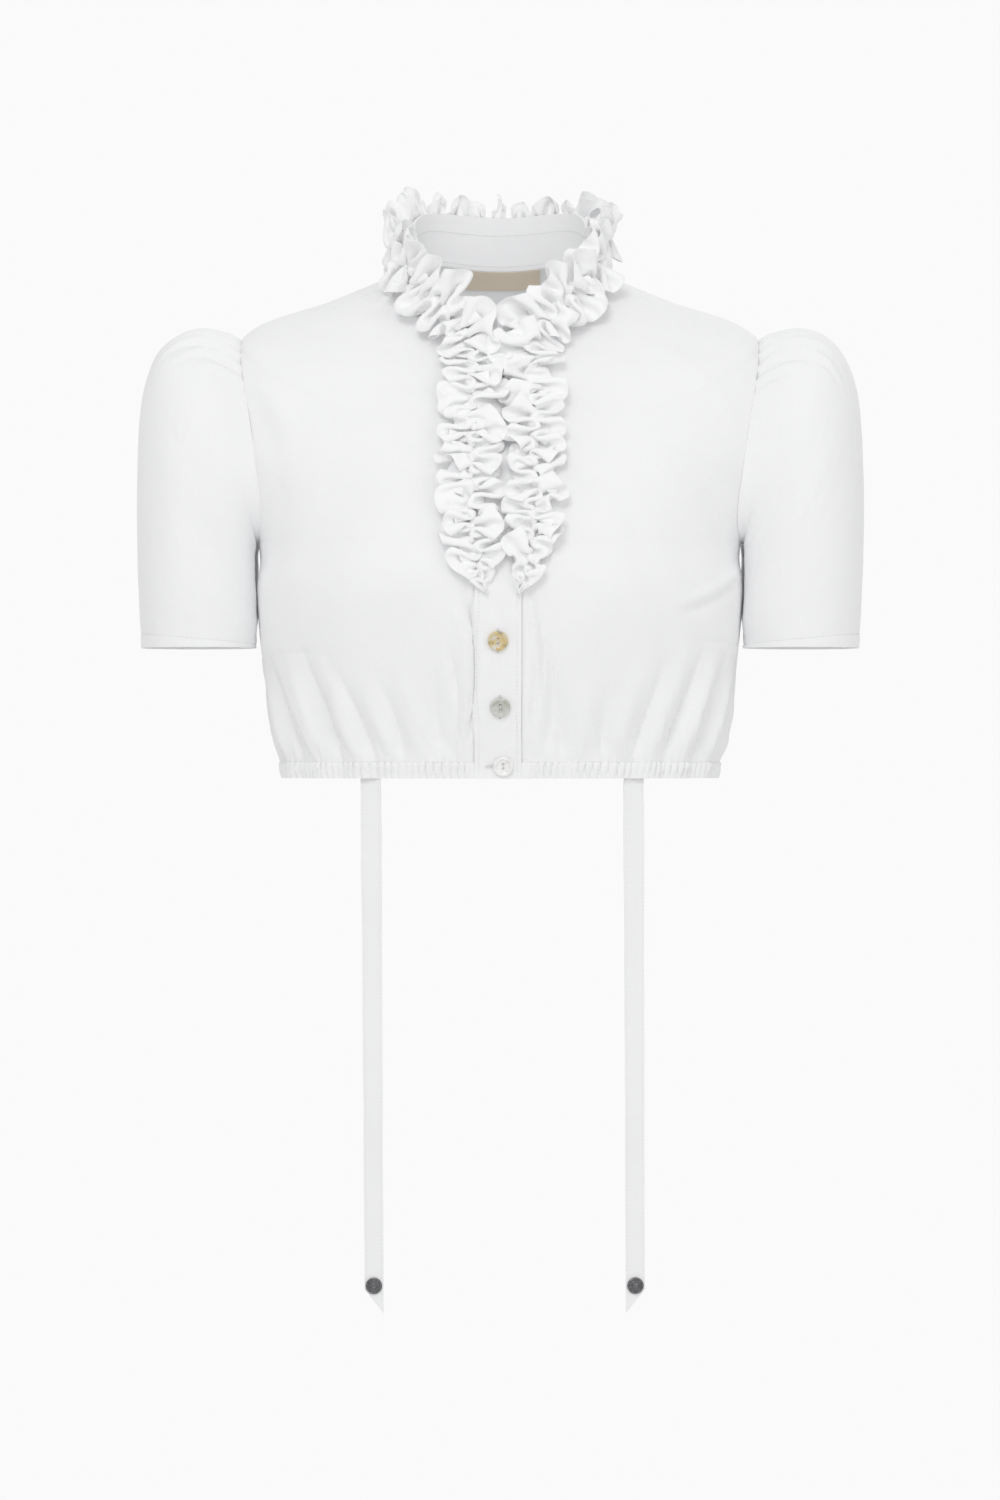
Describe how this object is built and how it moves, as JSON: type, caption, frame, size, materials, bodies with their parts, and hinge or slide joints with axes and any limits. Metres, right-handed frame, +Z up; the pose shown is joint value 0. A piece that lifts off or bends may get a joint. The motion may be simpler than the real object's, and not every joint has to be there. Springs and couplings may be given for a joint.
{
  "type": "short puff-sleeved dirndl blouse",
  "caption": "Cropped white dirndl blouse, hollow as worn, with a gathered ruffle round the collar and down the front, buttoned placket, puffed short sleeves, elastic hem and hanging ties",
  "frame": {"origin": "middle of the neck, level with the top of the shoulder line, where the wearer's shoulders carry the blouse", "axes": "+Z up, the wearer faces -Y, the wearer's left at +X"},
  "size_m": [0.5384, 0.2447, 0.8253],
  "materials": {
    "poplin": "plain-woven cotton poplin, matt, lightly pressed",
    "ruffle": "fine cotton batiste, matt",
    "ribbon": "narrow doubled and stitched cotton tape",
    "nacre": "pearly, mother-of-pearl look",
    "rivet": "dark nickel, satin",
    "label": "woven satin label, blank"
  },
  "bodies": {
    "root": {"front_right": "poplin", "front_left": "poplin", "back": "poplin", "placket": "poplin", "button_band": "poplin", "casing_right": "poplin", "casing_left": "poplin", "casing_back": "poplin", "sleeve_right": "poplin", "sleeve_left": "poplin", "collar_band": "poplin", "ruffle_right": "ruffle", "ruffle_left": "ruffle", "button_top": "nacre", "button_middle": "nacre", "button_hem": "nacre", "tie_right": "ribbon", "rivet_right": "rivet", "tie_left": "ribbon", "rivet_left": "rivet", "neck_label": "label"}
  },
  "joints": []
}
